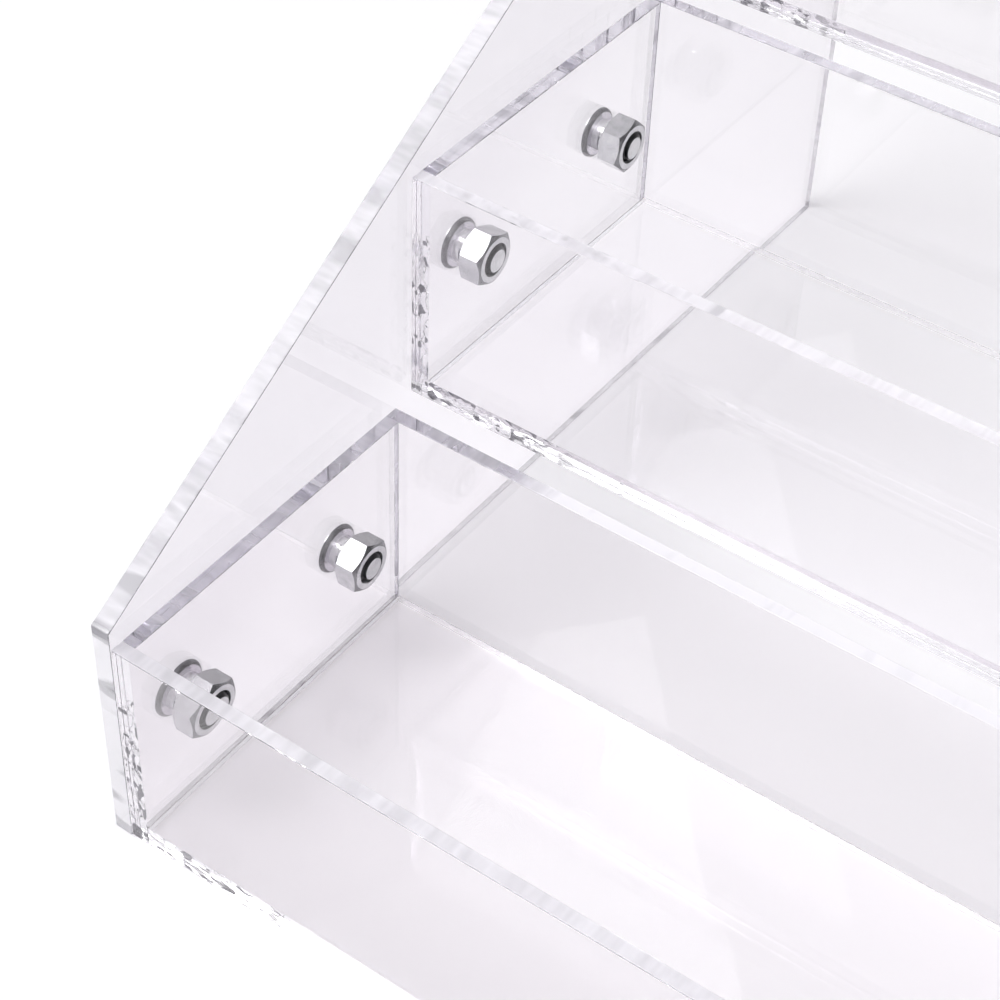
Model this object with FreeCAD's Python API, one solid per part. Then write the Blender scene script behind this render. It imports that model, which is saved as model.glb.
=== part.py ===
import FreeCAD, Part
import math
import os

from FreeCAD import Vector

# Stepped countertop organizer of clear sheet: two side panels carry three open trays.
# Millimetres. +X runs to the user's right, +Y to the back, +Z up. The origin is on the table,
# under the middle of the whole object.

# Sheet that the trays are made of, and the thicker sheet of the side panels
sheet = 3.0
panel_sheet = 4.0

# Trays, each a front wall, a back wall, a floor and two end walls cemented together
tier_names = ("lower", "middle", "upper")
tray_length = 299.0
tray_depth = 80.0
tray_height = 50.2
step_depth = 84.8
step_rise = 51.2

# Side panels, which stand a little proud of the trays all round
panel_front_margin = 0.2
panel_back_margin = 0.2
panel_top_margin = 3.8

# Bolt places on a tray end, from the tray's front face, its back face and its underside
bolt_front_inset = 16.8
bolt_back_inset = 18.2
bolt_height = 26.2
bolt_hole_clearance = 0.2

# Machine screw with a low domed head and a hexagon socket
screw_diameter = 6.0
screw_end_stand = 0.5
head_diameter = 10.5
head_height = 2.4
socket_across_flats = 4.0
socket_depth = 1.8

# Hexagon nut, its corners chamfered round its free face
nut_across_flats = 10.0
nut_height = 5.2
nut_face_diameter = 9.2
nut_chamfer_degrees = 30.0
thread_clearance = 0.05

# Turn of each nut about its screw as it was tightened, front then back of each tier
left_nut_turns = ((57.0, 55.0), (53.0, 15.0), (27.0, 50.0))
right_nut_turns = ((12.0, 44.0), (21.0, 5.0), (55.0, 31.0))

# Length that cutting shapes run past the faces they cut
overrun = 2.0

# Whole object
tier_count = len(tier_names)
half_tray = tray_length / 2
trays_depth = (tier_count - 1) * step_depth + tray_depth
panel_depth = panel_front_margin + trays_depth + panel_back_margin
front_of_trays = panel_front_margin - panel_depth / 2
panel_front_height = tray_height + panel_top_margin
panel_height = (tier_count - 1) * step_rise + panel_front_height
screw_length = panel_sheet + sheet + nut_height + screw_end_stand


def tier_front(tier):
    """Place of a tray's front face along Y."""
    return front_of_trays + tier * step_depth


def tier_base(tier):
    """Height of a tray's underside."""
    return tier * step_rise


def bolt_places(tier):
    """Y and Z of the front and the back bolt of one tray."""
    front = tier_front(tier)
    height = tier_base(tier) + bolt_height
    return (front + bolt_front_inset, height), (front + tray_depth - bolt_back_inset, height)


def rod_along_x(diameter, start, end, y, z):
    """Round rod along X, used for bolt holes."""
    return Part.makeCylinder(diameter / 2, end - start, Vector(start, y, z), Vector(1, 0, 0))


def drill(plate, low, high, places):
    """Bolt holes through a plate that lies between two X values."""
    hole_diameter = screw_diameter + 2 * bolt_hole_clearance
    for y, z in places:
        plate = plate.cut(rod_along_x(hole_diameter, low - overrun, high + overrun, y, z))
    return plate


def block(low, high):
    """Square-cut sheet between two corners."""
    size = high - low
    return Part.makeBox(size.x, size.y, size.z, low)


def side_panel(side):
    """Side panel on one side: its sloping edge runs parallel to the steps."""
    front = -panel_depth / 2
    back = panel_depth / 2
    slope_end = front + (tier_count - 1) * step_depth
    low = min(side * half_tray, side * (half_tray + panel_sheet))
    corners = [
        Vector(low, front, 0),
        Vector(low, back, 0),
        Vector(low, back, panel_height),
        Vector(low, slope_end, panel_height),
        Vector(low, front, panel_front_height),
    ]
    outline = Part.makePolygon(corners + corners[:1])
    panel = Part.Face(outline).extrude(Vector(panel_sheet, 0, 0))
    places = [place for tier in range(tier_count) for place in bolt_places(tier)]
    return drill(panel, low, low + panel_sheet, places)


def tray_walls(tier):
    """The five sheets of one tray: the floor and the ends stand between the front and back walls."""
    front = tier_front(tier)
    back = front + tray_depth
    base = tier_base(tier)
    top = base + tray_height
    inner_front = front + sheet
    inner_back = back - sheet
    inner_end = half_tray - sheet
    walls = {
        "front_wall": block(Vector(-half_tray, front, base), Vector(half_tray, inner_front, top)),
        "back_wall": block(Vector(-half_tray, inner_back, base), Vector(half_tray, back, top)),
        "floor": block(Vector(-inner_end, inner_front, base), Vector(inner_end, inner_back, base + sheet)),
    }
    for name, low in (("left_end", -half_tray), ("right_end", inner_end)):
        end = block(Vector(low, inner_front, base), Vector(low + sheet, inner_back, top))
        walls[name] = drill(end, low, low + sheet, bolt_places(tier))
    return walls


def revolve(edges):
    """Solid of revolution about Z from a closed chain of edges in the XZ plane."""
    return Part.Face(Part.Wire(edges)).revolve(Vector(0, 0, 0), Vector(0, 0, 1), 360)


def straight_edges(points):
    """Edges that join (radius, height) points in order."""
    corners = [Vector(radius, 0, height) for radius, height in points]
    return [Part.makeLine(start, end) for start, end in zip(corners, corners[1:])]


def hexagon_prism(across_flats, low, high):
    """Upright hexagonal bar between two heights, one corner on +X."""
    radius = across_flats / math.sqrt(3)
    turns = [math.radians(60 * corner) for corner in range(6)]
    corners = [Vector(radius * math.cos(turn), radius * math.sin(turn), low) for turn in turns]
    outline = Part.makePolygon(corners + corners[:1])
    return Part.Face(outline).extrude(Vector(0, 0, high - low))


def screw():
    """Screw along Z with its bearing face at zero, its head above and its shank below."""
    head_radius = head_diameter / 2
    shank_radius = screw_diameter / 2
    dome_radius = (head_radius ** 2 + head_height ** 2) / (2 * head_height)
    half_angle = math.asin(head_radius / dome_radius) / 2
    dome_centre = head_height - dome_radius
    crown = Vector(0, 0, head_height)
    dome_middle = Vector(
        dome_radius * math.sin(half_angle), 0, dome_centre + dome_radius * math.cos(half_angle)
    )
    rim = Vector(head_radius, 0, 0)
    edges = [Part.Arc(crown, dome_middle, rim).toShape()]
    edges += straight_edges([
        (head_radius, 0),
        (shank_radius, 0),
        (shank_radius, -screw_length),
        (0, -screw_length),
        (0, head_height),
    ])
    socket_floor = head_height - socket_depth
    return revolve(edges).cut(hexagon_prism(socket_across_flats, socket_floor, head_height + overrun))


def nut():
    """Hexagon nut along Z from its free face at zero up to the face that bears on the tray's end."""
    face_radius = nut_face_diameter / 2
    blank_radius = nut_across_flats / math.sqrt(3) + overrun
    chamfer_rise = (blank_radius - face_radius) * math.tan(math.radians(nut_chamfer_degrees))
    blank = revolve(straight_edges([
        (0, 0),
        (face_radius, 0),
        (blank_radius, chamfer_rise),
        (blank_radius, nut_height),
        (0, nut_height),
        (0, 0),
    ]))
    bore_radius = screw_diameter / 2 + thread_clearance
    bore = Part.makeCylinder(bore_radius, nut_height + 2 * overrun, Vector(0, 0, -overrun))
    return blank.common(hexagon_prism(nut_across_flats, 0, nut_height)).cut(bore)


def on_bolt_axis(shape, side, seat, place, turn_degrees):
    """Turn a fastener about its own axis, point its +Z outwards and set its zero on a seat."""
    y, z = place
    placed = shape.copy()
    placed.rotate(Vector(0, 0, 0), Vector(0, 0, 1), turn_degrees)
    placed.rotate(Vector(0, 0, 0), Vector(0, 1, 0), side * 90)
    placed.translate(Vector(side * seat, y, z))
    return placed


def fasteners(tier):
    """The four screws and four nuts of one tray: heads outside the panels, nuts in the tray."""
    head_seat = half_tray + panel_sheet
    nut_seat = half_tray - sheet - nut_height
    screws = []
    nuts = []
    for side, turns in ((-1, left_nut_turns[tier]), (1, right_nut_turns[tier])):
        for place, turn in zip(bolt_places(tier), turns):
            screws.append(on_bolt_axis(screw(), side, head_seat, place, -turn))
            nuts.append(on_bolt_axis(nut(), side, nut_seat, place, turn))
    return {"screws": Part.makeCompound(screws), "nuts": Part.makeCompound(nuts)}


def all_pieces():
    """Every node by name: a panel or a wall each, and a tray's identical fasteners together."""
    pieces = {"left_side_panel": side_panel(-1), "right_side_panel": side_panel(1)}
    for tier, tier_name in enumerate(tier_names):
        for name, piece in {**tray_walls(tier), **fasteners(tier)}.items():
            pieces[tier_name + "_tray_" + name] = piece
    return pieces


os.makedirs("parts", exist_ok=True)
for name, piece in all_pieces().items():
    piece.exportStep("parts/" + name + ".step")
    print(name, "solids", len(piece.Solids), "valid", piece.isValid(), "volume", round(piece.Volume, 1))
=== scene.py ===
"""Studio picture of a clear stepped countertop organizer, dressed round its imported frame.

Metres throughout, in the frame's own axes: +X to the user's right, +Y to the back, +Z up.
"""
import logging
import math
from dataclasses import dataclass, field, replace
from enum import Enum
from typing import Any, Callable, Iterable, Mapping, Sequence, Union

import bmesh
import bpy
from mathutils import Matrix, Vector


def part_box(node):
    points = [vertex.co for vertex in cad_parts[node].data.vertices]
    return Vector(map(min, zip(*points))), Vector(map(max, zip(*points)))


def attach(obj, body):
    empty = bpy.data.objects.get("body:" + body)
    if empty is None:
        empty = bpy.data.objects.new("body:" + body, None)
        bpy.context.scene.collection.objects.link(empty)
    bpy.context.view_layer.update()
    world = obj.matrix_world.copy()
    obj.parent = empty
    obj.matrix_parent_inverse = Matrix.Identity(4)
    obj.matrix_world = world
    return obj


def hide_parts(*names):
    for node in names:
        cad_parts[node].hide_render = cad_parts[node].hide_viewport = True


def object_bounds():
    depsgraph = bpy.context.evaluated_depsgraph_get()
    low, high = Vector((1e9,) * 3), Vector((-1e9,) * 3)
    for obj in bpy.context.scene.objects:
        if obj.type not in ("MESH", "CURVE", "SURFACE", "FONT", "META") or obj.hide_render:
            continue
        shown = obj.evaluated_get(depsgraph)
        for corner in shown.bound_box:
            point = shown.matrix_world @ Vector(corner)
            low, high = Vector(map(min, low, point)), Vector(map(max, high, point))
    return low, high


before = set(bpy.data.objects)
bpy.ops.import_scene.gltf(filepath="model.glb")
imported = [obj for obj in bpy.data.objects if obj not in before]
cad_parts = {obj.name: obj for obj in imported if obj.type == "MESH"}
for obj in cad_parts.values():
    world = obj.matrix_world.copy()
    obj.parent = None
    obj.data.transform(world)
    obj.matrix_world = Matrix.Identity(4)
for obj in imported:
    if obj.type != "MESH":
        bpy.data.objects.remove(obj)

MM = 0.001
BODY = "root"
TIERS = ("lower", "middle", "upper")

# Least cosine at which a face counts as looking along an axis
FACING = 0.9

# Distance within which a cut finds points on its plane
CUT_REACH = 1e-7

# Distances within which points are joined: after a cut or thread, and after a turning
WELD_REACH = 0.002 * MM
POLE_REACH = 0.0005 * MM

# Height within which a point of a turned part counts as on a level
LEVEL_REACH = 0.01 * MM

# Short names of the types that the functions below share
Pair = tuple[float, float]
Triple = tuple[float, float, float]
Inputs = Mapping[Union[str, int], Any]
Shape = bmesh.types.BMesh
Piece = bpy.types.Object
Material = bpy.types.Material

log = logging.getLogger("organizer")
cad_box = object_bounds()


class Axis(Enum):
    """The three directions of the frame."""

    X = 0
    Y = 1
    Z = 2

    @property
    def unit(self) -> Vector:
        """Unit vector along this axis."""
        return Vector([1.0 if place == self.value else 0.0 for place in range(3)])


class Side(Enum):
    """The two ends of the organizer, by their sign along X."""

    LEFT = -1
    RIGHT = 1

    @property
    def word(self) -> str:
        """Name used in node and piece names."""
        return self.name.lower()


class Surface(Enum):
    """What a free face of a cut sheet is, which is also its material's place on the mesh."""

    FACE = 0
    EDGE = 1
    FOOT = 2


class Machined(Enum):
    """How each face of a fastener was left, or the painted shade that darkens it, which is also its
    material's place on the mesh.
    """

    PLATED = 0
    # Nut chamfers: darker steel as painted shade
    TURNED = 1
    # Thread, bore and the round under the head: near-black steel as painted shade
    THREAD = 2
    SAWN = 3


@dataclass(frozen=True)
class Wire:
    """One output socket of a shader, which can be used in sums with numbers and other wires."""

    shader: "Shader"
    socket: bpy.types.NodeSocket

    def _sum(self, operation: str, first: "Term", second: "Term") -> "Wire":
        """One Math node on two terms."""
        return self.shader.node("ShaderNodeMath", {"operation": operation}, {0: first, 1: second})

    def __add__(self, other: "Term") -> "Wire":
        """This plus the other."""
        return self._sum("ADD", self, other)

    def __radd__(self, other: "Term") -> "Wire":
        """The other plus this."""
        return self._sum("ADD", other, self)

    def __sub__(self, other: "Term") -> "Wire":
        """This less the other."""
        return self._sum("SUBTRACT", self, other)

    def __rsub__(self, other: "Term") -> "Wire":
        """The other less this."""
        return self._sum("SUBTRACT", other, self)

    def __mul__(self, other: "Term") -> "Wire":
        """This times the other."""
        return self._sum("MULTIPLY", self, other)


Term = Union[Wire, float]


@dataclass
class Shader:
    """The node tree of one material or of the world."""

    tree: bpy.types.NodeTree

    @classmethod
    def on(cls, owner: Union[Material, bpy.types.World]) -> "Shader":
        """Empties the node tree of a material or of the world, to draw on it."""
        owner.use_nodes = True
        owner.node_tree.nodes.clear()
        return cls(owner.node_tree)

    def node(
        self,
        kind: str,
        settings: Mapping[str, object] = {},
        inputs: Inputs = {},
        output: Union[str, int] = 0,
    ) -> Wire:
        """Adds one node, gives it its settings and then its inputs.

        Args:
            kind: Blender's type name of the node.
            settings: Attributes to set first, with a ramp's "stops" and "blend" among them.
            inputs: Sockets by name or place, each a value or a wire.
            output: The output socket that is wanted.

        Returns:
            The wire from that output.
        """
        node = self.tree.nodes.new(kind)
        for name, value in settings.items():
            if name == "stops":
                for stop, (place, level) in zip(node.color_ramp.elements, value):
                    stop.position = place
                    stop.color = (level, level, level, 1.0)
            elif name == "blend":
                node.color_ramp.interpolation = value
            else:
                setattr(node, name, value)
        for name, value in inputs.items():
            socket = node.inputs[name]
            if isinstance(value, Wire):
                self.tree.links.new(value.socket, socket)
            else:
                socket.default_value = value
        return Wire(self, node.outputs[output])

    def object_place(self, along: Axis = Axis.X, factor: float = 1.0) -> Wire:
        """Place on the object in metres, multiplied along one axis.

        Args:
            along: The axis.
            factor: What the place along it is multiplied by.

        Returns:
            The coordinates.
        """
        place = self.node("ShaderNodeTexCoord", {}, {}, "Object")
        scale = tuple(factor if axis is along else 1.0 for axis in Axis)
        return self.node("ShaderNodeMapping", {}, {"Vector": place, "Scale": scale})

    def noise(self, place: Wire, size: float, detail: float = 2.0, roughness: float = 0.5) -> Wire:
        """Cloudy values from 0 to 1, in clouds of one width, with so many finer layers."""
        return self.node(
            "ShaderNodeTexNoise",
            {"noise_dimensions": "3D"},
            {"Vector": place, "Scale": 1.0 / size, "Detail": detail, "Roughness": roughness},
        )

    def along(self, axis: Axis, vector: Union[Wire, None] = None) -> Wire:
        """One coordinate of a vector, or else of the place on the object."""
        place = vector or self.object_place()
        return self.node("ShaderNodeSeparateXYZ", {}, {0: place}, axis.value)

    def ramp(
        self, value: Wire, places: Pair, levels: Pair = (0.0, 1.0), blend: str = "LINEAR"
    ) -> Wire:
        """Grey level that runs from one to another between two places along a value.

        The way between them takes up the whole ramp, because a ramp is read at 256 places only.

        Args:
            value: What is looked up.
            places: Where the level begins and ends to change.
            levels: The two levels.
            blend: How the one turns into the other.

        Returns:
            The level.
        """
        start, end = places
        settings = {"stops": tuple(zip((0.0, 1.0), levels)), "blend": blend}
        share = (value - start) * (1 / (end - start))
        return self.node("ShaderNodeValToRGB", settings, {"Fac": share})

    def principled(self, colour: Union[Wire, Triple], roughness: "Term", inputs: Inputs) -> Wire:
        """Principled surface of one colour and roughness, with any other inputs."""
        base = colour if isinstance(colour, Wire) else (*colour, 1.0)
        return self.node(
            "ShaderNodeBsdfPrincipled", {}, {"Base Color": base, "Roughness": roughness, **inputs}
        )

    def mixed_colour(self, share: Wire, first: Triple, second: Triple) -> Wire:
        """Colour between two, by the second one's share."""
        inputs = {0: share, 6: (*first, 1.0), 7: (*second, 1.0)}
        return self.node("ShaderNodeMix", {"data_type": "RGBA"}, inputs, 2)

    def mixed(self, share: Wire, first: Wire, second: Wire) -> Wire:
        """Surface between two, by the second one's share."""
        return self.node("ShaderNodeMixShader", {}, {0: share, 1: first, 2: second})

    def bump(self, height: Wire, distance: float, normal: Union[Wire, None] = None) -> Wire:
        """Normal of a surface raised by a height.

        Args:
            height: Height from 0 to 1.
            distance: What height 1 measures, in metres.
            normal: A normal that is already bumped.

        Returns:
            The new normal.
        """
        below = {} if normal is None else {"Normal": normal}
        inputs = {"Height": height, "Distance": distance, "Strength": 1.0, **below}
        return self.node("ShaderNodeBump", {}, inputs)

    def output(self, kind: str, surface: Wire) -> None:
        """Adds the output node of a material or world and links the surface to it."""
        self.tree.links.new(surface.socket, self.tree.nodes.new(kind).inputs["Surface"])


def named_material(name: str, build: Callable[[Shader], Wire]) -> Material:
    """Makes a material once and finds it again by its name.

    Args:
        name: Name of the material.
        build: Draws the surface on an empty shader.

    Returns:
        The material.
    """
    if name not in bpy.data.materials:
        shader = Shader.on(bpy.data.materials.new(name))
        shader.output("ShaderNodeOutputMaterial", build(shader))
    return bpy.data.materials[name]


@dataclass(frozen=True)
class Seam:
    """A cemented joint of a tray, named, with the place of its inner corner.

    The corner is a height for a level joint and a distance from the middle for an upright one.
    A tidy joint has cement in its inner corner alone. The line that shows there is that cement,
    mostly darkened with painted shade of the corner.
    """

    name: str
    along: Axis
    corner: float
    rim: float
    # Share of the corner line: cement, its dark colour painted shade in the inner corner
    ink: float
    frothy: bool = False
    tidy: bool = False
    # Colour of the corner line: dark by default as painted shade, pale on the back foot
    fillet: Triple = (0.3, 0.28, 0.33)


@dataclass(frozen=True)
class ClearSheet:
    """Clear cast sheet: its broad faces, its polished edges and its cemented seams."""

    name: str
    # Colour of the plastic, deepened on the side panels and the lower tray to paint the shade seen
    # through them; on a panel, paler far from the slope
    tint: Triple
    deep_tint: Union[Triple, None] = None
    slope_distance: Triple = (0.517, -0.856, 0.1109)
    deep_reach: Pair = (22 * MM, 50 * MM)
    ior: float = 1.49
    face_wave: float = 60 * MM
    face_rise: float = 0.01 * MM
    streak: float = 6 * MM
    streak_stretch: float = 0.2
    streak_rise: float = 0.035 * MM
    ripple: float = 1.2 * MM
    ripple_rise: float = 0.002 * MM
    # Colour seen through polished edges, darkened to paint the shade that the edges show
    edge_tint: Triple = (0.7, 0.68, 0.76)
    haze: Pair = (0.1, 0.4)
    haze_width: float = 7 * MM
    haze_clouds: Pair = (0.35, 0.65)
    haze_colour: Triple = (0.85, 0.83, 0.88)
    haze_roughness: float = 0.45
    haze_above: float = 0.0
    haze_fade: float = 1 * MM
    pale_middle: float = 0.0
    bright_before: Union[float, None] = None
    bright_fade: float = 0.5 * MM
    gleam: float = 0.75
    # Painted dark reflections: on the panel's front edge, then on every polished edge
    front_marks: float = 0.4
    mark_clouds: Pair = (0.53, 0.57)
    dark_streaks: float = 0.35
    dark_clouds: Pair = (0.61, 0.68)
    foot_haze: Pair = (0.0, 0.15)
    air_colour: Triple = (0.97, 0.965, 0.98)
    air_roughness: float = 0.12
    film: float = 0.9
    film_rise: float = 0.07
    speck_share: float = 0.8
    speck_clouds: Pair = (0.57, 0.6)
    # Dark matt colour of the seams' specks and of the painted dark reflections on edges
    speck_colour: Triple = (0.16, 0.155, 0.18)
    bubble: float = 2.6 * MM
    bubble_stretch: float = 0.55
    bubbles_per_dome: float = 6.0
    bubbles_per_froth: float = 2.0
    bubbles_per_speck: float = 1.7
    wet_limits: Pair = (0.475, 0.49)
    calm_by: float = 0.28
    calm_reach: Pair = (108 * MM, 122 * MM)
    calm_rise: float = 12 * MM
    seldom: float = 0.8
    froth: Pair = (0.3, 0.95)
    froth_clouds: Pair = (0.42, 0.5)
    corner_line: Pair = (0.25 * MM, 0.05 * MM)

    def _clear(self, shader: Shader, colour: Union[Wire, Triple], inputs: Inputs) -> Wire:
        """The clear plastic itself, in a colour, with whatever else varies."""
        clear = {"IOR": self.ior, "Transmission Weight": 1.0}
        return shader.principled(colour, 0.0, {**clear, **inputs})

    def _matt(self, shader: Shader, colour: Triple) -> Wire:
        """Matt surface: the scatter of fine scratches, the seams' dark specks, painted dark
        reflections on edges, and the corner line of cement with its painted shade.
        """
        return shader.principled(colour, self.haze_roughness, {})

    def _trapped_air(self, shader: Shader, normal: Wire) -> Wire:
        """Thin air in a joint or under an edge's polish, which throws light back like silver."""
        look = {"Metallic": 1.0, "Normal": normal}
        return shader.principled(self.air_colour, self.air_roughness, look)

    def _reach(self, shader: Shader) -> Wire:
        """Distance from the middle of the organizer to either side."""
        return shader.node("ShaderNodeMath", {"operation": "ABSOLUTE"}, {0: shader.along(Axis.X)})

    def broad_face(self) -> Material:
        """Face of the sheet, flat but for the faint long waves of cast plastic."""

        def build(shader: Shader) -> Wire:
            """Draws the broad face, its painted shade paler away from the sloping edge of a side
            panel.
            """
            waves = shader.noise(shader.object_place(), self.face_wave, detail=1.0)
            colour: Union[Wire, Triple] = self.tint
            if self.deep_tint:
                along_y, along_z, start = self.slope_distance
                depth = shader.along(Axis.Y) * along_y + shader.along(Axis.Z) * along_z + start
                share = shader.ramp(depth, self.deep_reach, blend="EASE")
                colour = shader.mixed_colour(share, self.tint, self.deep_tint)
            return self._clear(shader, colour, {"Normal": shader.bump(waves, self.face_rise)})

        return named_material(self.name + "_face", build)

    def sawn_foot(self, across: Axis) -> Material:
        """Lower edge that stands on the table, left whiter than the polished ones."""
        raw = replace(self, edge_tint=self.tint, haze=self.foot_haze, haze_colour=self.air_colour)
        return replace(raw, name=self.name + "_foot").polished_edge(across)

    def polished_edge(self, across: Axis) -> Material:
        """Sawn and polished edge, with streaks that run across the sheet's thickness.

        Args:
            across: The direction of the thickness.

        Returns:
            The material.
        """

        def build(shader: Shader) -> Wire:
            """Draws the streaked edge, with painted dark reflections in some streaks."""
            place = shader.object_place(across, self.streak_stretch)
            streaks = shader.bump(shader.noise(place, self.streak), self.streak_rise)
            fine = shader.noise(place, self.ripple, detail=1.0)
            ripples = shader.bump(fine, self.ripple_rise, streaks)
            surface = self._clear(shader, self.edge_tint, {"Normal": ripples})
            hazy = shader.noise(place, self.haze_width, detail=3.0, roughness=0.6)
            haze_share = shader.ramp(hazy, self.haze_clouds, self.haze)
            streaky = shader.noise(place, self.haze_width)
            # Dark streaks of matt colour are painted dark reflections
            dark_share = shader.ramp(streaky, self.dark_clouds, (0.0, self.dark_streaks))
            if self.haze_above:
                height = shader.along(Axis.Z)
                crest = shader.ramp(height, (self.haze_above - self.haze_fade, self.haze_above))
                haze_share, dark_share = haze_share * crest, dark_share * crest
            if self.pale_middle:
                pale = shader.ramp(self._reach(shader), self.calm_reach, (self.pale_middle, 0.0))
                haze_share, dark_share = haze_share + pale, dark_share * (1 - pale)
            if self.bright_before is not None:
                ahead = self.bright_before - shader.along(Axis.Y)
                front = shader.ramp(ahead, (0.0, self.bright_fade))
                # Dark marks on the front edge are painted dark reflections
                marks = shader.ramp(streaky, self.mark_clouds, (0.0, self.front_marks))
                haze_share, dark_share = haze_share * (1 - front), dark_share + front * marks
                air = self._trapped_air(shader, ripples)
                surface = shader.mixed(front * self.gleam, surface, air)
            surface = shader.mixed(haze_share, surface, self._matt(shader, self.haze_colour))
            return shader.mixed(dark_share, surface, self._matt(shader, self.speck_colour))

        return named_material(f"{self.name}_edge_{across.name.lower()}", build)

    def _bubbly(self, shader: Shader, seam: Seam) -> Wire:
        """Joint with wetted patches and domed bubbles, if frothy with shining air and specks.

        Args:
            shader: Where it is drawn.
            seam: The joint.

        Returns:
            The surface.
        """
        calm: Term = self.seldom
        if seam.frothy:
            crest = seam.rim - self.calm_rise
            under_rim = shader.ramp(shader.along(Axis.Z), (crest - self.haze_fade, crest))
            calm = shader.ramp(self._reach(shader), self.calm_reach, (1.0, 0.0)) + under_rim
        place = shader.object_place(seam.along, self.bubble_stretch)
        clouds = shader.noise(place, self.bubble, detail=1.5, roughness=0.4)
        dry = shader.ramp(clouds - calm * self.calm_by, self.wet_limits)
        domes = shader.bump(clouds * (dry + self.film_rise), self.bubble / self.bubbles_per_dome)
        surface = self._clear(shader, self.tint, {"Alpha": dry, "Normal": domes})
        if not seam.frothy:
            return surface
        foam = shader.noise(place, self.bubble / self.bubbles_per_froth)
        froth = shader.ramp(foam, self.froth_clouds, self.froth)
        air_share = froth * dry + (1 - dry) * self.film
        surface = shader.mixed(air_share, surface, self._trapped_air(shader, domes))
        specked = shader.noise(place, self.bubble / self.bubbles_per_speck, detail=1.0)
        specks = shader.ramp(specked, self.speck_clouds, (0.0, self.speck_share))
        return shader.mixed(specks * (1 - calm), surface, self._matt(shader, self.speck_colour))

    def cemented(self, seam: Seam) -> Material:
        """Seam under solvent cement, with a line of cement in its inner corner, mostly darkened
        with painted shade.

        Args:
            seam: The joint.

        Returns:
            The material.
        """

        def build(shader: Shader) -> Wire:
            """Draws the joint and the line of its inner corner, its darkness painted shade."""
            if seam.tidy:
                surface = self._clear(shader, self.tint, {})
            else:
                surface = self._bubbly(shader, seam)
            width, soft = self.corner_line
            if seam.along is Axis.Z:
                end = seam.corner + width
                line = shader.ramp(self._reach(shader), (end, end + soft), (seam.ink, 0.0))
            else:
                end = seam.corner - width
                line = shader.ramp(shader.along(Axis.Z), (end - soft, end), (0.0, seam.ink))
            return shader.mixed(line, surface, self._matt(shader, seam.fillet))

        return named_material(f"{self.name}_{seam.name}", build)


@dataclass(frozen=True)
class BrightSteel:
    """Bright plated steel with fine marks from turning and tumbling."""

    name: str
    colour: Triple = (0.74, 0.74, 0.75)
    dull_colour: Triple = (0.5, 0.5, 0.52)
    gloss: Pair = (0.05, 0.16)
    cloud: float = 2.4 * MM
    grain: float = 0.25 * MM
    grain_rise: float = 0.0016 * MM

    def material(self) -> Material:
        """The plated surface."""

        def build(shader: Shader) -> Wire:
            """Draws clouds of slightly duller plating and a fine grain."""
            place = shader.object_place()
            clouds = shader.noise(place, self.cloud, detail=3.0)
            colour = shader.mixed_colour(clouds, self.colour, self.dull_colour)
            low, high = self.gloss
            grain = shader.bump(shader.noise(place, self.grain), self.grain_rise)
            look = {"Metallic": 1.0, "Normal": grain}
            return shader.principled(colour, low + clouds * (high - low), look)

        return named_material(self.name, build)


@dataclass(frozen=True)
class PaleTable:
    """White studio table."""

    colour: Triple = (0.93, 0.925, 0.935)
    roughness: float = 0.9

    def material(self) -> Material:
        """The matt white surface."""

        def build(shader: Shader) -> Wire:
            """Draws a plain matt white."""
            return shader.principled(self.colour, self.roughness, {"Specular IOR Level": 0.0})

        return named_material("pale_table", build)


def only(kind: type, parts: Iterable[Any]) -> list[Any]:
    """Those parts of a mesh that are of one kind."""
    return [part for part in parts if isinstance(part, kind)]


def saw_off(
    shape: Shape, parts: list[Any], place: Sequence[float], normal: Sequence[float]
) -> None:
    """Cuts away what lies beyond a plane and closes the cut.

    Args:
        shape: The shape.
        parts: Those of its parts that the plane may cut.
        place: A point of the plane.
        normal: Direction of what is cut away.
    """
    cut = bmesh.ops.bisect_plane(
        shape, geom=parts, dist=CUT_REACH, plane_co=place, plane_no=normal, clear_outer=True
    )
    bmesh.ops.edgenet_fill(shape, edges=only(bmesh.types.BMEdge, cut["geom_cut"]))


def as_piece(name: str, shape: Shape, materials: Iterable[Material]) -> Piece:
    """Turns a bmesh into an object at the origin.

    Args:
        name: Name of the object.
        shape: Its shape, which is freed.
        materials: Its materials, in the order of the faces' numbers.

    Returns:
        The linked object.
    """
    mesh = bpy.data.meshes.new(name)
    shape.to_mesh(mesh)
    shape.free()
    for material in materials:
        mesh.materials.append(material)
    piece = bpy.data.objects.new(name, mesh)
    bpy.context.scene.collection.objects.link(piece)
    return piece


def fit_out(piece: Piece, slot: str, nodes: Iterable[str]) -> None:
    """Parents a piece to what it rides on, hides the nodes it stands for and logs which slot it is
    finished from.

    Args:
        piece: The new piece.
        slot: The record's material slot.
        nodes: The frame's nodes that it replaces.
    """
    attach(piece, BODY)
    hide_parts(*nodes)
    log.info("%s: %d faces, finish %s", piece.name, len(piece.data.polygons), slot)


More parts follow.
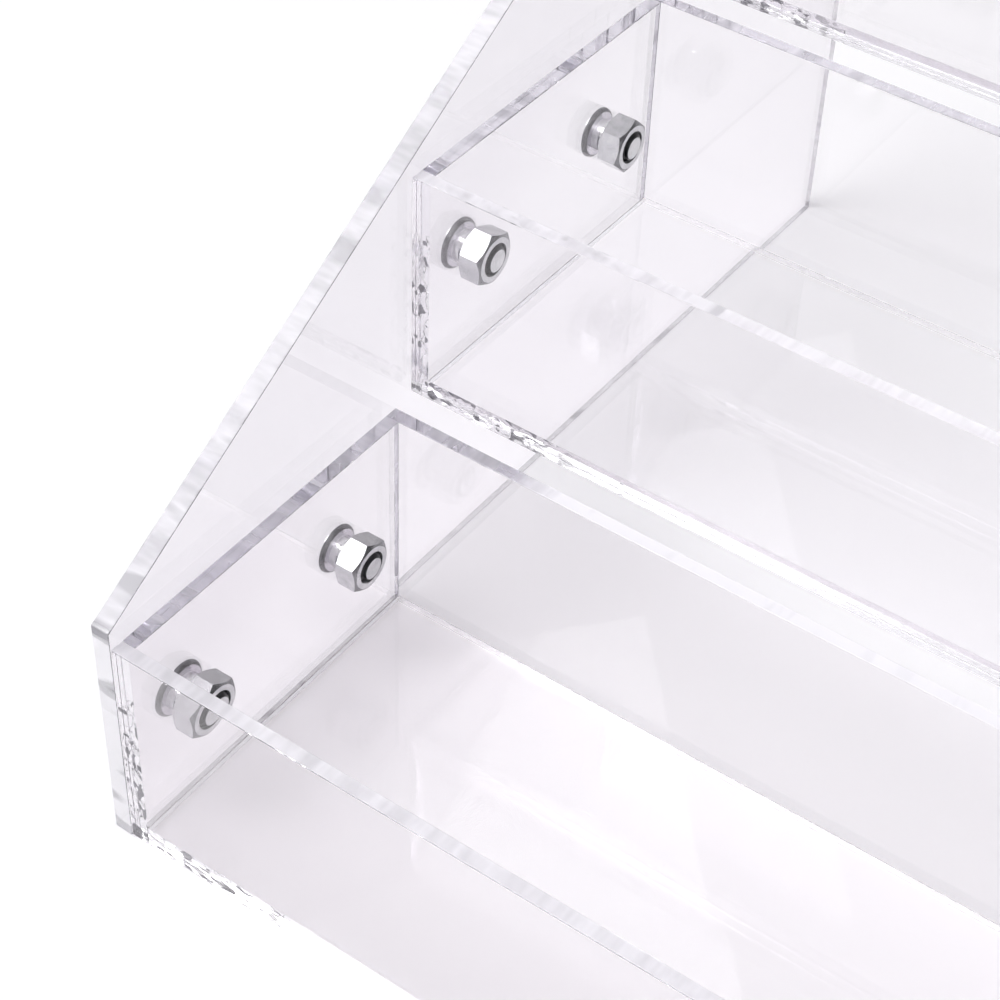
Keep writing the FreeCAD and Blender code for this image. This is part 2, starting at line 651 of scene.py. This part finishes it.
@dataclass
class CutSheet:
    """One sheet of clear plastic that stands for one node of the frame."""

    node: str
    finish: ClearSheet
    slot: str
    across: Axis
    outline: list[Pair] = field(default_factory=list)
    holes: list[Triple] = field(default_factory=list)
    seams: Mapping[tuple[Axis, int], Seam] = field(default_factory=dict)
    inside: int = 0
    strips: Sequence[tuple[Axis, float, Seam]] = ()
    gap: float = 0.02 * MM
    edge_break: float = 0.18 * MM
    break_segments: int = 2
    corner_degrees: float = 20.0
    hole_segments: int = 64
    hole_margin: float = 1.05

    @property
    def plane_axes(self) -> tuple[Axis, Axis]:
        """The two axes that the sheet's outline lies in."""
        rest = [axis for axis in Axis if axis is not self.across]
        return rest[0], rest[1]

    def _raise(self, first: float, second: float, level: float) -> Vector:
        """Point of the sheet from its place in the outline's plane and its level through it."""
        axes = self.plane_axes
        return axes[0].unit * first + axes[1].unit * second + self.across.unit * level

    def _corners(self) -> list[Pair]:
        """Outline of the sheet: its own points, or else its node's box drawn in by the gap."""
        if self.outline:
            return self.outline
        low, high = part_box(self.node)
        first, second = (axis.value for axis in self.plane_axes)
        start, end = low[first] + self.gap, high[first] - self.gap
        foot, top = low[second] + self.gap, high[second] - self.gap
        return [(start, foot), (end, foot), (end, top), (start, top)]

    def _blank(self) -> Shape:
        """The sheet as sawn and drilled, with sharp edges."""
        shape = bmesh.new()
        low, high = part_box(self.node)
        bottom = low[self.across.value] + self.gap
        top = high[self.across.value] - self.gap
        corners = [shape.verts.new(self._raise(a, b, bottom)) for a, b in self._corners()]
        for start, end in zip(corners, corners[1:] + corners[:1]):
            shape.edges.new((start, end))
        turn = self.across.unit.to_track_quat("Z", "Y").to_matrix().to_4x4()
        for a, b, radius in self.holes:
            place = Matrix.Translation(self._raise(a, b, bottom)) @ turn
            bmesh.ops.create_circle(shape, segments=self.hole_segments, radius=radius, matrix=place)
        bmesh.ops.triangle_fill(
            shape, use_beauty=True, use_dissolve=not self.holes, edges=shape.edges[:]
        )
        sheet = bmesh.ops.extrude_face_region(shape, geom=shape.faces[:], use_keep_orig=True)
        moved = only(bmesh.types.BMVert, sheet["geom"])
        bmesh.ops.translate(shape, verts=moved, vec=self.across.unit * (top - bottom))
        bmesh.ops.recalc_face_normals(shape, faces=shape.faces[:])
        return shape

    def _looks_in(self, face: bmesh.types.BMFace) -> bool:
        """Whether a face looks into the tray."""
        return face.normal[self.across.value] * self.inside > FACING

    def _seam(self, face: bmesh.types.BMFace) -> Union[Seam, None]:
        """The joint that a face is part of, from the way it looks and where it lies."""
        for (axis, sign), seam in self.seams.items():
            if face.normal[axis.value] * sign > FACING:
                return seam
        if self._looks_in(face):
            low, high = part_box(self.node)
            place = face.calc_center_median()
            for axis, line, seam in self.strips:
                middle = (low[axis.value] + high[axis.value]) / 2
                if (place[axis.value] - line) * (line - middle) > 0.0:
                    return seam
        return None

    def _finishes(self, shape: Shape) -> list[Material]:
        """Marks every face with its finish and returns the finishes in their order."""
        seams: list[Seam] = []
        for face in shape.faces:
            seam = self._seam(face)
            if seam is not None:
                if seam not in seams:
                    seams.append(seam)
                face.material_index = len(Surface) + seams.index(seam)
            elif abs(face.normal[self.across.value]) > FACING:
                face.material_index = Surface.FACE.value
            else:
                is_foot = face.normal.z < -FACING
                face.material_index = (Surface.FOOT if is_foot else Surface.EDGE).value
        look = self.finish
        free = [look.broad_face(), look.polished_edge(self.across), look.sawn_foot(self.across)]
        return free + [look.cemented(seam) for seam in seams]

    def _part_strips(self, shape: Shape) -> None:
        """Parts the inner face along the lines where other sheets are cemented to it."""
        for axis, line, _ in self.strips:
            inner = [face for face in shape.faces if self._looks_in(face)]
            rims = {item for face in inner for item in (*face.edges, *face.verts)}
            place = axis.unit * line
            bmesh.ops.bisect_plane(
                shape, geom=inner + list(rims), dist=CUT_REACH, plane_co=place, plane_no=axis.unit
            )

    def _in_hole(self, edge: bmesh.types.BMEdge) -> bool:
        """Whether an edge belongs to a drilled hole."""
        first, second = (axis.value for axis in self.plane_axes)
        middle = (edge.verts[0].co + edge.verts[1].co) / 2
        return any(
            math.hypot(middle[first] - a, middle[second] - b) < radius * self.hole_margin
            for a, b, radius in self.holes
        )

    def build(self) -> None:
        """Shapes the sheet, marks its faces and replaces its node."""
        shape = self._blank()
        free = [
            edge for edge in shape.edges
            if edge.calc_face_angle(0.0) > math.radians(self.corner_degrees)
            and not any(self._seam(face) for face in edge.link_faces)
            and not self._in_hole(edge)
        ]
        bmesh.ops.bevel(
            shape, geom=free, offset=self.edge_break, offset_type="OFFSET", affect="EDGES",
            segments=self.break_segments, profile=0.5, material=-1,
        )
        self._part_strips(shape)
        materials = self._finishes(shape)
        piece = as_piece(self.node + "_sheet", shape, materials)
        fit_out(piece, self.slot, [self.node])


@dataclass(frozen=True)
class BoltPlaces:
    """Places and sizes of a tray's bolts, read from the frame's screws and sheets."""

    front: float
    back: float
    height: float
    head_radius: float
    head_seat: float
    nut_seat: float
    nut_height: float = 5.2 * MM
    screw_stand: float = 0.5 * MM

    @classmethod
    def of_tray(cls, tier: str) -> "BoltPlaces":
        """Reads one tray's bolts.

        Args:
            tier: Name of the tray's tier.

        Returns:
            The places and sizes.
        """
        screws_low, screws_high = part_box(f"{tier}_tray_screws")
        panel_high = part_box("right_side_panel")[1]
        end_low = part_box(f"{tier}_tray_right_end")[0]
        head_radius = (screws_high[2] - screws_low[2]) / 2
        return cls(
            front=screws_low[1] + head_radius,
            back=screws_high[1] - head_radius,
            height=(screws_high[2] + screws_low[2]) / 2,
            head_radius=head_radius,
            head_seat=panel_high[0],
            nut_seat=end_low[0],
        )

    @property
    def nut_face(self) -> float:
        """Distance of a nut's free face from the middle of the organizer."""
        return self.nut_seat - self.nut_height

    @property
    def screw_length(self) -> float:
        """Length of a screw under its head."""
        return self.head_seat - self.nut_face + self.screw_stand

    def both(self) -> Pair:
        """Places along Y, front bolt first."""
        return self.front, self.back


@dataclass
class SidePanel:
    """Side panel with its sloping front edge."""

    side: Side
    finish: ClearSheet
    bolts: Mapping[str, BoltPlaces]
    hole_clearance: float = 0.2 * MM
    shank_radius: float = 3 * MM
    front_height: float = 54 * MM
    slope_run: float = 169.6 * MM

    def build(self) -> None:
        """Cuts and drills the panel."""
        node = f"{self.side.word}_side_panel"
        low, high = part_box(node)
        front, back = low[1], high[1]
        base, top = low[2] + CutSheet.gap, high[2]
        slope = [(front + self.slope_run, top), (front, self.front_height)]
        outline = [(front, base), (back, base), (back, top), *slope]
        holes = [
            (y, places.height, self.shank_radius + self.hole_clearance)
            for places in self.bolts.values()
            for y in places.both()
        ]
        CutSheet(node, self.finish, "clear_panel", Axis.X, outline=outline, holes=holes).build()


@dataclass
class Tray:
    """One open tray of five cemented sheets."""

    tier: str
    finish: ClearSheet
    bolts: BoltPlaces
    hole_radius: float = 3.2 * MM
    # Paler edge colour of the front wall, with less painted shade
    front_edge_tint: Triple = (0.93, 0.92, 0.95)
    front_haze_colour: Triple = (0.905, 0.89, 0.93)
    front_haze: Pair = (0.5, 0.8)
    front_haze_depth: float = 0.6 * MM
    back_haze_colour: Triple = (0.82, 0.805, 0.845)
    back_pale_middle: float = 0.0
    pale_fillet: Triple = (0.86, 0.84, 0.88)

    def _box(self, part: str) -> tuple[Sequence[float], Sequence[float]]:
        """Two corners of one of this tray's nodes."""
        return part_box(f"{self.tier}_tray_{part}")

    def _wall(self, part: str, across: Axis, **kinds: object) -> None:
        """Cuts one sheet of this tray, the front one with paler edges and less painted shade on
        them.
        """
        finish = self.finish
        if part == "front_wall":
            finish = replace(
                finish,
                name=finish.name + "_front",
                edge_tint=self.front_edge_tint,
                haze_colour=self.front_haze_colour,
                haze=self.front_haze,
                haze_above=self._box(part)[1][2] - self.front_haze_depth,
            )
        if part == "back_wall" and self.back_pale_middle:
            finish = replace(
                finish,
                name=finish.name + "_back",
                haze_colour=self.back_haze_colour,
                pale_middle=self.back_pale_middle,
            )
        CutSheet(f"{self.tier}_tray_{part}", finish, "clear_tray", across, **kinds).build()

    def _seam(self, word: str, along: Axis, ink: float, **kinds: object) -> Seam:
        """One joint of this tray."""
        corner = self._box("right_end")[0][0] if along is Axis.Z else self._box("floor")[1][2]
        rim = self._box("front_wall")[1][2]
        return Seam(f"{self.tier}_{word}_seam", along, corner, rim, ink, **kinds)

    def build(self) -> None:
        """Cuts all five sheets."""
        left = self._box("left_end")[1][0]
        right = self._box("right_end")[0][0]
        floor = self._box("floor")[1][2]

        front_corner = self._seam("front_corner", Axis.Z, 0.0, frothy=True)
        front_foot = self._seam("front_foot", Axis.X, 0.0, frothy=True)
        back_corner = self._seam("back_corner", Axis.Z, 0.85)
        back_foot = self._seam("back_foot", Axis.X, 0.3, tidy=True, fillet=self.pale_fillet)
        end_foot = self._seam("end_foot", Axis.Y, 0.85, tidy=True)

        def joined(corner: Seam, foot: Seam) -> list[tuple[Axis, float, Seam]]:
            """Strips of a long wall where the ends and the floor meet it."""
            return [(Axis.X, left, corner), (Axis.X, right, corner), (Axis.Z, floor, foot)]

        edges = {(Axis.Y, -1): front_foot, (Axis.Y, 1): back_foot}
        edges |= {(Axis.X, side.value): end_foot for side in Side}
        end = {
            "holes": [(y, self.bolts.height, self.hole_radius) for y in self.bolts.both()],
            "seams": {(Axis.Y, -1): front_corner, (Axis.Y, 1): back_corner},
            "strips": [(Axis.Z, floor, end_foot)],
        }
        self._wall("front_wall", Axis.Y, inside=1, strips=joined(front_corner, front_foot))
        self._wall("back_wall", Axis.Y, inside=-1, strips=joined(back_corner, back_foot))
        self._wall("floor", Axis.Z, seams=edges)
        self._wall("left_end", Axis.X, inside=1, **end)
        self._wall("right_end", Axis.X, inside=-1, **end)


def spin_profile(shape: Shape, points: Sequence[Pair], steps: int, closed: bool) -> None:
    """Turns a profile of (radius, height) points about Z.

    Args:
        shape: Where the surface goes.
        points: The profile.
        steps: Number of flats round the axis.
        closed: Whether the last point joins the first.
    """
    verts = [shape.verts.new((radius, 0.0, height)) for radius, height in points]
    pairs = list(zip(verts, verts[1:]))
    if closed:
        pairs.append((verts[-1], verts[0]))
    edges = [shape.edges.new(pair) for pair in pairs]
    bmesh.ops.spin(
        shape, geom=verts + edges, cent=(0, 0, 0), axis=(0, 0, 1), angle=2 * math.pi,
        steps=steps, use_merge=True,
    )
    bmesh.ops.remove_doubles(shape, verts=shape.verts[:], dist=POLE_REACH)


def smooth_but_sharp(piece: Piece, degrees: float = 28.0) -> None:
    """Shades a piece smooth with its corners kept sharp.

    Args:
        piece: The piece.
        degrees: Least angle of a corner.
    """
    for polygon in piece.data.polygons:
        polygon.use_smooth = True
    piece.data.set_sharp_from_angle(angle=math.radians(degrees))


@dataclass
class Nut:
    """Hexagon nut with both ends chamfered and its bore countersunk."""

    height: float
    across_flats: float = 10 * MM
    face_diameter: float = 9.2 * MM
    bore_diameter: float = 6.1 * MM
    mouth_diameter: float = 6.9 * MM
    chamfer_degrees: float = 30.0
    blank_margin: float = 1 * MM
    turned_cosines: Pair = (0.2, 0.95)
    steps: int = 96

    def shape(self) -> Shape:
        """Turns the chamfered blank and cuts its six flats.

        Returns:
            The nut, its free face at zero and its other face up.
        """
        shape = bmesh.new()
        blank = self.across_flats / math.sqrt(3) + self.blank_margin
        face = self.face_diameter / 2
        bore = self.bore_diameter / 2
        mouth = self.mouth_diameter / 2
        rise = (blank - face) * math.tan(math.radians(self.chamfer_degrees))
        sink = mouth - bore
        top = self.height
        profile = [
            (mouth, 0.0), (face, 0.0), (blank, rise), (blank, top - rise), (face, top),
            (mouth, top), (bore, top - sink), (bore, sink),
        ]
        spin_profile(shape, profile, self.steps, closed=True)
        for turn in range(6):
            angle = math.radians(60 * turn + 30)
            normal = Vector((math.cos(angle), math.sin(angle), 0.0))
            parts = shape.verts[:] + shape.edges[:] + shape.faces[:]
            saw_off(shape, parts, normal * (self.across_flats / 2), normal)
        bmesh.ops.remove_doubles(shape, verts=shape.verts[:], dist=WELD_REACH)
        bmesh.ops.recalc_face_normals(shape, faces=shape.faces[:])
        steep, level = self.turned_cosines
        for item in shape.faces:
            middle = item.calc_center_median()
            # Bore and countersink get near-black steel as painted shade
            if math.hypot(middle.x, middle.y) < mouth:
                item.material_index = Machined.THREAD.value
            # Chamfer cones get the darker steel of painted shade
            elif steep < abs(item.normal.z) < level:
                item.material_index = Machined.TURNED.value
        return shape


@dataclass
class Screw:
    """Machine screw: domed head with a hexagon socket, plain neck and threaded end."""

    head_radius: float
    length: float
    head_height: float = 2.4 * MM
    shank_radius: float = 3 * MM
    neck_radius: float = 2.95 * MM
    neck_length: float = 7.3 * MM
    rim: float = 1.0 * MM
    under_round: float = 0.9 * MM
    pitch: float = 1 * MM
    thread_depth: float = 0.55 * MM
    thread_shares: tuple[float, ...] = (0.12, 0.45, 0.62, 0.95)
    socket_across_flats: float = 4 * MM
    socket_depth: float = 1.8 * MM
    socket_lip: float = 0.12 * MM
    mouth_share: float = 1.08
    end_chamfer: float = 0.7 * MM
    steps: int = 72
    dome_steps: int = 10
    round_steps: int = 6
    flat_cosine: float = 0.99
    round_cosine: float = 0.1

    @property
    def socket_radius(self) -> float:
        """Distance of the socket's corners from its middle."""
        return self.socket_across_flats / math.sqrt(3)

    def _dome(self) -> list[Pair]:
        """Profile of the dome from the socket's mouth out to the rim."""
        rise = self.head_height - self.rim
        radius = (self.head_radius ** 2 + rise ** 2) / (2 * rise)
        centre = self.head_height - radius
        inner = math.asin(self.socket_radius * self.mouth_share / radius)
        outer = math.asin(self.head_radius / radius)
        shares = [step / self.dome_steps for step in range(self.dome_steps + 1)]
        turns = [inner + (outer - inner) * share for share in shares]
        return [(radius * math.sin(turn), centre + radius * math.cos(turn)) for turn in turns]

    def _under_head(self) -> list[Pair]:
        """Profile of the round under the head, from the rim in to the bearing face."""
        size = self.under_round
        inner = self.head_radius - size
        turns = [math.radians(90 * step / self.round_steps) for step in range(self.round_steps + 1)]
        return [(inner + size * math.cos(turn), size * (1 - math.sin(turn))) for turn in turns]

    def _add_socket(self, shape: Shape, height: float) -> None:
        """Sinks the hexagon socket into the crown of the head, which is open at a height."""
        ring = [
            edge for edge in shape.edges
            if edge.is_boundary and abs(edge.verts[0].co.z - height) < LEVEL_REACH
        ]
        top = Matrix.Translation((0.0, 0.0, height - self.socket_lip))
        hexagon = bmesh.ops.create_circle(shape, segments=6, radius=self.socket_radius, matrix=top)
        rim = list({edge for vert in hexagon["verts"] for edge in vert.link_edges})
        bmesh.ops.bridge_loops(shape, edges=ring + rim)
        walls = bmesh.ops.extrude_edge_only(shape, edges=rim)["geom"]
        depth = self.socket_depth - self.socket_lip
        bmesh.ops.translate(shape, verts=only(bmesh.types.BMVert, walls), vec=(0.0, 0.0, -depth))
        floor = [edge for edge in only(bmesh.types.BMEdge, walls) if edge.is_boundary]
        bmesh.ops.edgenet_fill(shape, edges=floor)

    def _add_thread(self, shape: Shape) -> None:
        """Winds the thread below the neck and closes it at the screw's end."""
        start = -self.neck_length
        turns = math.ceil((self.length - self.neck_length) / self.pitch) + 2
        root, crest = self.shank_radius - self.thread_depth, self.shank_radius
        radii = (root, root, crest, crest, root, root)
        verts = [
            shape.verts.new((radius, 0.0, start + self.pitch - share * self.pitch))
            for radius, share in zip(radii, (0.0, *self.thread_shares, 1.0))
        ]
        edges = [shape.edges.new(pair) for pair in zip(verts, verts[1:])]
        bmesh.ops.spin(
            shape, geom=verts + edges, cent=(0, 0, 0), axis=(0, 0, 1), angle=2 * math.pi * turns,
            steps=self.steps * turns, dvec=(0.0, 0.0, -self.pitch / self.steps), use_merge=False,
        )
        bmesh.ops.remove_doubles(shape, verts=shape.verts[:], dist=WELD_REACH)
        for level, normal in ((start, (0, 0, 1)), (-self.length, (0, 0, -1))):
            thread = [vert for vert in shape.verts if vert.co.z < start + 2 * self.pitch]
            part = {item for vert in thread for item in (*vert.link_edges, *vert.link_faces)}
            saw_off(shape, thread + list(part), (0.0, 0.0, level), normal)

    def shape(self) -> Shape:
        """Builds the whole screw.

        Returns:
            The screw with its bearing face at zero and its head up.
        """
        shape = bmesh.new()
        self._add_thread(shape)
        head = bmesh.new()
        dome = self._dome()
        neck_end = -self.neck_length
        neck = [(self.neck_radius, 0.0), (self.neck_radius, neck_end), (0.0, neck_end)]
        spin_profile(head, dome + self._under_head() + neck, self.steps, closed=False)
        self._add_socket(head, dome[0][1])
        extra = bpy.data.meshes.new("screw_head")
        head.to_mesh(extra)
        head.free()
        shape.from_mesh(extra)
        bpy.data.meshes.remove(extra)
        for vert in shape.verts:
            depth = vert.co.z + self.length
            limit = self.shank_radius - self.end_chamfer + depth
            radius = math.hypot(vert.co.x, vert.co.y)
            if radius > limit and depth < self.end_chamfer + LEVEL_REACH:
                vert.co.x *= limit / radius
                vert.co.y *= limit / radius
        bmesh.ops.recalc_face_normals(shape, faces=shape.faces[:])
        for face in shape.faces:
            level = face.calc_center_median().z
            flat = face.normal.z < -self.flat_cosine
            # Thread and the round under the head get near-black steel as painted shade; the flat
            # sawn end stays bright
            if level < neck_end:
                face.material_index = (Machined.SAWN if flat else Machined.THREAD).value
            elif LEVEL_REACH < level < self.under_round and not flat:
                if face.normal.z < -self.round_cosine:
                    face.material_index = Machined.THREAD.value
        return shape


@dataclass
class Fasteners:
    """The four screws and four nuts of one tray."""

    tier: str
    bolts: BoltPlaces
    screw: Shape
    nut: Shape
    screw_steels: Mapping[Machined, BrightSteel]
    nut_steels: Mapping[Machined, BrightSteel]
    turns: Mapping[Side, Pair]

    def _seat(self, shape: Shape, side: Side, seat: float, y: float, turn: float) -> None:
        """Turns a fastener about its axis, points its top outwards and sets it on its seat."""
        place = (
            Matrix.Translation((side.value * seat, y, self.bolts.height))
            @ Matrix.Rotation(math.radians(90 * side.value), 4, "Y")
            @ Matrix.Rotation(math.radians(turn), 4, "Z")
        )
        bmesh.ops.transform(shape, matrix=place, verts=shape.verts[:])

    def _finish(self, label: str, kind: str, shape: Shape) -> None:
        """Makes a piece of a seated screw or nut."""
        steels = self.screw_steels if kind == "screw" else self.nut_steels
        materials = [steels[machined].material() for machined in Machined]
        piece = as_piece(f"{label}_{kind}", shape, materials)
        smooth_but_sharp(piece)
        fit_out(piece, f"{kind}_steel", [f"{self.tier}_tray_{kind}s"])

    def build(self) -> None:
        """Makes and seats every screw and nut."""
        for side in Side:
            for word, y, turn in zip(("front", "back"), self.bolts.both(), self.turns[side]):
                label = f"{self.tier}_{side.word}_{word}"
                screw, nut = self.screw.copy(), self.nut.copy()
                self._seat(screw, side, self.bolts.head_seat, y, -turn)
                self._seat(nut, side, self.bolts.nut_face, y, turn)
                self._finish(label, "screw", screw)
                self._finish(label, "nut", nut)


@dataclass(frozen=True)
class Camera:
    """The camera of the photograph."""

    place: Triple = (60.14 * MM, -315.91 * MM, 349.89 * MM)
    azimuth: float = 34.243
    elevation: float = 43.355
    roll: float = 2.315
    lens: float = 85.258
    sensor: float = 36.0
    clip: Pair = (0.01, 100.0)

    def build(self) -> None:
        """Makes the camera and gives it to the scene."""
        data = bpy.data.cameras.new("camera")
        data.lens = self.lens
        data.sensor_width = self.sensor
        data.clip_start, data.clip_end = self.clip
        camera = bpy.data.objects.new("camera", data)
        azimuth, elevation = math.radians(self.azimuth), math.radians(self.elevation)
        forward = Vector((
            -math.sin(azimuth) * math.cos(elevation),
            math.cos(azimuth) * math.cos(elevation),
            -math.sin(elevation),
        ))
        right = forward.cross(Axis.Z.unit).normalized()
        right = Matrix.Rotation(-math.radians(self.roll), 3, forward) @ right
        up = right.cross(forward)
        turn = Matrix((right, up, -forward)).transposed().to_4x4()
        camera.matrix_world = Matrix.Translation(self.place) @ turn
        bpy.context.scene.collection.objects.link(camera)
        bpy.context.scene.camera = camera


@dataclass
class Studio:
    """Table, sky and soft light round the organizer."""

    table: PaleTable
    table_half: float = 6.0
    table_gap: float = 0.02 * MM
    sky: float = 0.86
    sky_colour: Triple = (0.985, 0.98, 1.0)
    horizon: Pair = (0.0, 0.35)
    horizon_level: float = 0.75
    dark_right: Pair = (0.5, 0.75)
    dark_height: Pair = (0.4, 0.6)
    dark_share: float = 0.88
    box_power: float = 9.0
    box_size: float = 0.8
    box_distance: float = 1.6
    box_direction: Triple = (-0.40, -0.33, 0.855)
    clear_bounces: int = 64
    diffuse_bounces: int = 4

    def _table(self) -> None:
        """White table top under the organizer."""
        shape = bmesh.new()
        bmesh.ops.create_grid(shape, x_segments=1, y_segments=1, size=self.table_half)
        level = cad_box[0][2] - self.table_gap
        bmesh.ops.translate(shape, verts=shape.verts[:], vec=(0.0, 0.0, level))
        table = as_piece("table", shape, [self.table.material()])

    def _sky(self) -> None:
        """Even surroundings, darker towards the horizon and low on the right."""
        world = bpy.data.worlds.new("studio")
        bpy.context.scene.world = world
        shader = Shader.on(world)
        direction = shader.node("ShaderNodeTexCoord", {}, {}, "Generated")
        height = shader.along(Axis.Z, direction)
        level = shader.ramp(height, self.horizon, (self.horizon_level, 1.0))
        right = shader.ramp(shader.along(Axis.X, direction), self.dark_right)
        low = shader.ramp(height, self.dark_height, (1.0, 0.0))
        strength = level * (1 - right * low * self.dark_share) * self.sky
        light = {"Color": (*self.sky_colour, 1.0), "Strength": strength}
        shader.output("ShaderNodeOutputWorld", shader.node("ShaderNodeBackground", {}, light))

    def _softbox(self) -> None:
        """Large soft light above the front left."""
        data = bpy.data.lights.new("softbox", "AREA")
        data.shape = "SQUARE"
        data.size = self.box_size
        data.energy = self.box_power
        light = bpy.data.objects.new("softbox", data)
        direction = Vector(self.box_direction).normalized()
        light.location = direction * self.box_distance
        light.rotation_euler = direction.to_track_quat("Z", "Y").to_euler()
        bpy.context.scene.collection.objects.link(light)

    def build(self) -> None:
        """Sets the table, the sky and the light."""
        self._table()
        self._sky()
        self._softbox()
        scene = bpy.context.scene
        scene.view_settings.view_transform = "Standard"
        for kind in ("max", "transmission", "glossy", "transparent_max"):
            setattr(scene.cycles, kind + "_bounces", self.clear_bounces)
        scene.cycles.diffuse_bounces = self.diffuse_bounces
        scene.cycles.blur_glossy = 0.0
        scene.cycles.sample_clamp_indirect = 0.0
        scene.cycles.use_denoising = True


def main() -> None:
    """Builds the organizer piece by piece, then the studio round it."""
    logging.basicConfig(level=logging.INFO, format="%(message)s")
    # The panel's deep colour paints the shade on the table seen through it, fading towards the back
    panel_sheet = ClearSheet(
        "panel",
        tint=(0.86, 0.843, 0.868),
        deep_tint=(0.925, 0.912, 0.93),
        # Edge colour darkened as painted shade
        edge_tint=(0.88, 0.86, 0.92),
        haze=(0.35, 0.8),
        haze_colour=(0.92, 0.905, 0.945),
        bright_before=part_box("left_side_panel")[0][1] + 1 * MM,
        streak=11 * MM,
        streak_rise=0.045 * MM,
        dark_streaks=0.45,
        foot_haze=(0.3, 0.55),
    )
    clearer = (0.985, 0.98, 0.986)
    # The lower tray's deeper colour paints the shade inside it; the two upper trays are nearly
    # clear
    tray_tints_and_shade = {"lower": (0.952, 0.94, 0.95), "middle": clearer, "upper": clearer}
    pale_middles = {"lower": 0.85, "middle": 0.0, "upper": 0.0}
    looks = {
        Machined.PLATED: (),
        # The chamfers' darker steel and the recesses' near-black steel are painted shade
        Machined.TURNED: ((0.34, 0.34, 0.35), (0.2, 0.2, 0.21), (0.12, 0.25)),
        # Near-black steel: painted shade in the thread, the bore and under the head
        Machined.THREAD: ((0.06, 0.06, 0.063), (0.04, 0.04, 0.042), (0.25, 0.4)),
        Machined.SAWN: ((0.8, 0.8, 0.81), (0.5, 0.5, 0.51), (0.1, 0.3)),
    }
    steels = {how: BrightSteel(how.name.lower() + "_steel", *look) for how, look in looks.items()}
    head_steel = BrightSteel("screw_steel", (0.68, 0.68, 0.71), (0.34, 0.34, 0.37))
    screw_steels = {**steels, Machined.PLATED: head_steel}
    turns = {
        "lower": {Side.LEFT: (57.0, 55.0), Side.RIGHT: (12.0, 44.0)},
        "middle": {Side.LEFT: (53.0, 15.0), Side.RIGHT: (21.0, 5.0)},
        "upper": {Side.LEFT: (27.0, 50.0), Side.RIGHT: (55.0, 31.0)},
    }
    bolts = {tier: BoltPlaces.of_tray(tier) for tier in TIERS}
    first = bolts[TIERS[0]]
    screw = Screw(first.head_radius, first.screw_length).shape()
    nut = Nut(first.nut_height).shape()
    for side in Side:
        SidePanel(side, panel_sheet, bolts).build()
    for tier in TIERS:
        sheet = ClearSheet(tier + "_tray", tint=tray_tints_and_shade[tier])
        Tray(tier, sheet, bolts[tier], back_pale_middle=pale_middles[tier]).build()
        Fasteners(tier, bolts[tier], screw, nut, screw_steels, steels, turns[tier]).build()
    Camera().build()
    Studio(PaleTable()).build()


if __name__ == "__main__":
    main()
